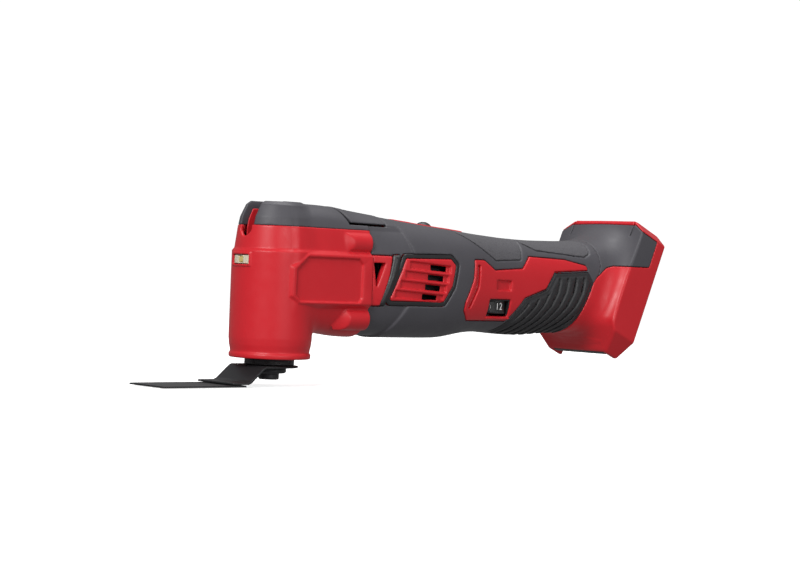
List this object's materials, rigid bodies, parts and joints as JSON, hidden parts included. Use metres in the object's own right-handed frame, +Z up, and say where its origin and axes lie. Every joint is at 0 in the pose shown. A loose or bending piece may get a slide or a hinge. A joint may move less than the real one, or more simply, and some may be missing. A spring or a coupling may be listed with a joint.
{
  "type": "oscillating multi tool",
  "caption": "Cordless oscillating multi tool with a right-angle head, plunge saw blade, top clamp lever, slide switch, speed dial, ribbed grip and an open slide-battery foot.",
  "frame": {"origin": "bottom centre of the whole tool's box: on the saw plate's underside level, midway between the saw teeth and the rear of the foot", "axes": "+X from the saw blade and head to the battery foot, +Z up along the output spindle, Y across the tool, whose left side is -Y"},
  "size_m": [0.4052, 0.076, 0.1113],
  "materials": {
    "red_plastic": "satin moulded red",
    "grey_rubber": "fine textured soft overmould",
    "black_rubber": "matte ribbed",
    "black_plastic": "fine matte",
    "clear_lens": "clear moulded lens",
    "blackened_steel": "blackened",
    "bright_steel": "ground",
    "cast_aluminium": "as cast",
    "copper": "bare copper",
    "brass": "bright",
    "carbon": "dull graphite",
    "circuit_green": "solder mask"
  },
  "bodies": {
    "housing": {"head_housing": "red_plastic", "left_housing": "red_plastic", "right_housing": "red_plastic", "left_vent_grille": "red_plastic", "right_vent_grille": "red_plastic", "switch_bezel": "red_plastic", "battery_foot": "red_plastic", "head_top_cover": "grey_rubber", "left_overmould": "grey_rubber", "right_overmould": "grey_rubber", "foot_cover": "grey_rubber", "left_rib_grip": "black_rubber", "right_rib_grip": "black_rubber", "brush_end_bell": "black_plastic", "front_plate": "black_plastic", "switch_module": "black_plastic", "dial_potentiometer": "black_plastic", "terminal_block": "black_plastic", "led_lens": "clear_lens", "lever_pin": "bright_steel", "lower_spindle_bearing": "bright_steel", "upper_spindle_bearing": "bright_steel", "motor_can": "bright_steel", "front_motor_bearing": "bright_steel", "rear_motor_bearing": "bright_steel", "head_screw_1": "bright_steel", "head_screw_2": "bright_steel", "head_screw_3": "bright_steel", "head_screw_4": "bright_steel", "housing_screw_1": "bright_steel", "housing_screw_2": "bright_steel", "housing_screw_3": "bright_steel", "housing_screw_4": "bright_steel", "gear_case": "cast_aluminium", "heat_sink": "cast_aluminium", "contact_1": "brass", "contact_2": "brass", "field_magnet": "carbon", "left_brush": "carbon", "right_brush": "carbon", "led_board": "circuit_green", "control_board": "circuit_green"},
    "spindle": {"spindle": "blackened_steel", "fork_arm": "bright_steel", "blade_adapter": "blackened_steel", "saw_blade": "blackened_steel", "clamp_spring": "bright_steel"},
    "clamp": {"clamp_rod": "bright_steel", "clamp_flange": "blackened_steel"},
    "lever": {"clamp_lever": "grey_rubber"},
    "rotor": {"motor_shaft": "bright_steel", "armature": "bright_steel", "armature_windings": "copper", "commutator": "copper", "cooling_fan": "black_plastic", "eccentric": "bright_steel", "eccentric_bearing": "bright_steel"},
    "switch": {"switch_knob": "black_plastic", "switch_link": "black_plastic"},
    "dial": {"speed_dial": "black_plastic"}
  },
  "joints": [
    {"name": "lever_hinge", "type": "hinge", "parent": "housing", "child": "lever", "pos_m": [-0.11408, 0, 0.1013], "axis": [0, -1, 0], "range_deg": [0, 110]},
    {"name": "spindle_swing", "type": "hinge", "parent": "housing", "child": "spindle", "pos_m": [-0.11408, 0, 0.0563], "axis": [0, 0, 1], "range_deg": [-1.7, 1.7]},
    {"name": "clamp_slide", "type": "slide", "parent": "spindle", "child": "clamp", "axis": [0, 0, -1], "range_m": [0, 0.003], "deforming": ["clamp_spring"]},
    {"name": "rotor_spin", "type": "hinge", "parent": "housing", "child": "rotor", "pos_m": [-0.05408, 0, 0.0663], "axis": [1, 0, 0], "continuous": true},
    {"name": "switch_slide", "type": "slide", "parent": "housing", "child": "switch", "axis": [-1, 0, 0], "range_m": [0, 0.006]},
    {"name": "dial_turn", "type": "hinge", "parent": "housing", "child": "dial", "pos_m": [0.05442, -0.0111, 0.0508], "axis": [0, 0, 1], "range_deg": [0, 270]}
  ],
  "couplings": [
    {"joint": "clamp_slide", "follows": "lever_hinge", "m_per_rad": 0.00156}
  ]
}
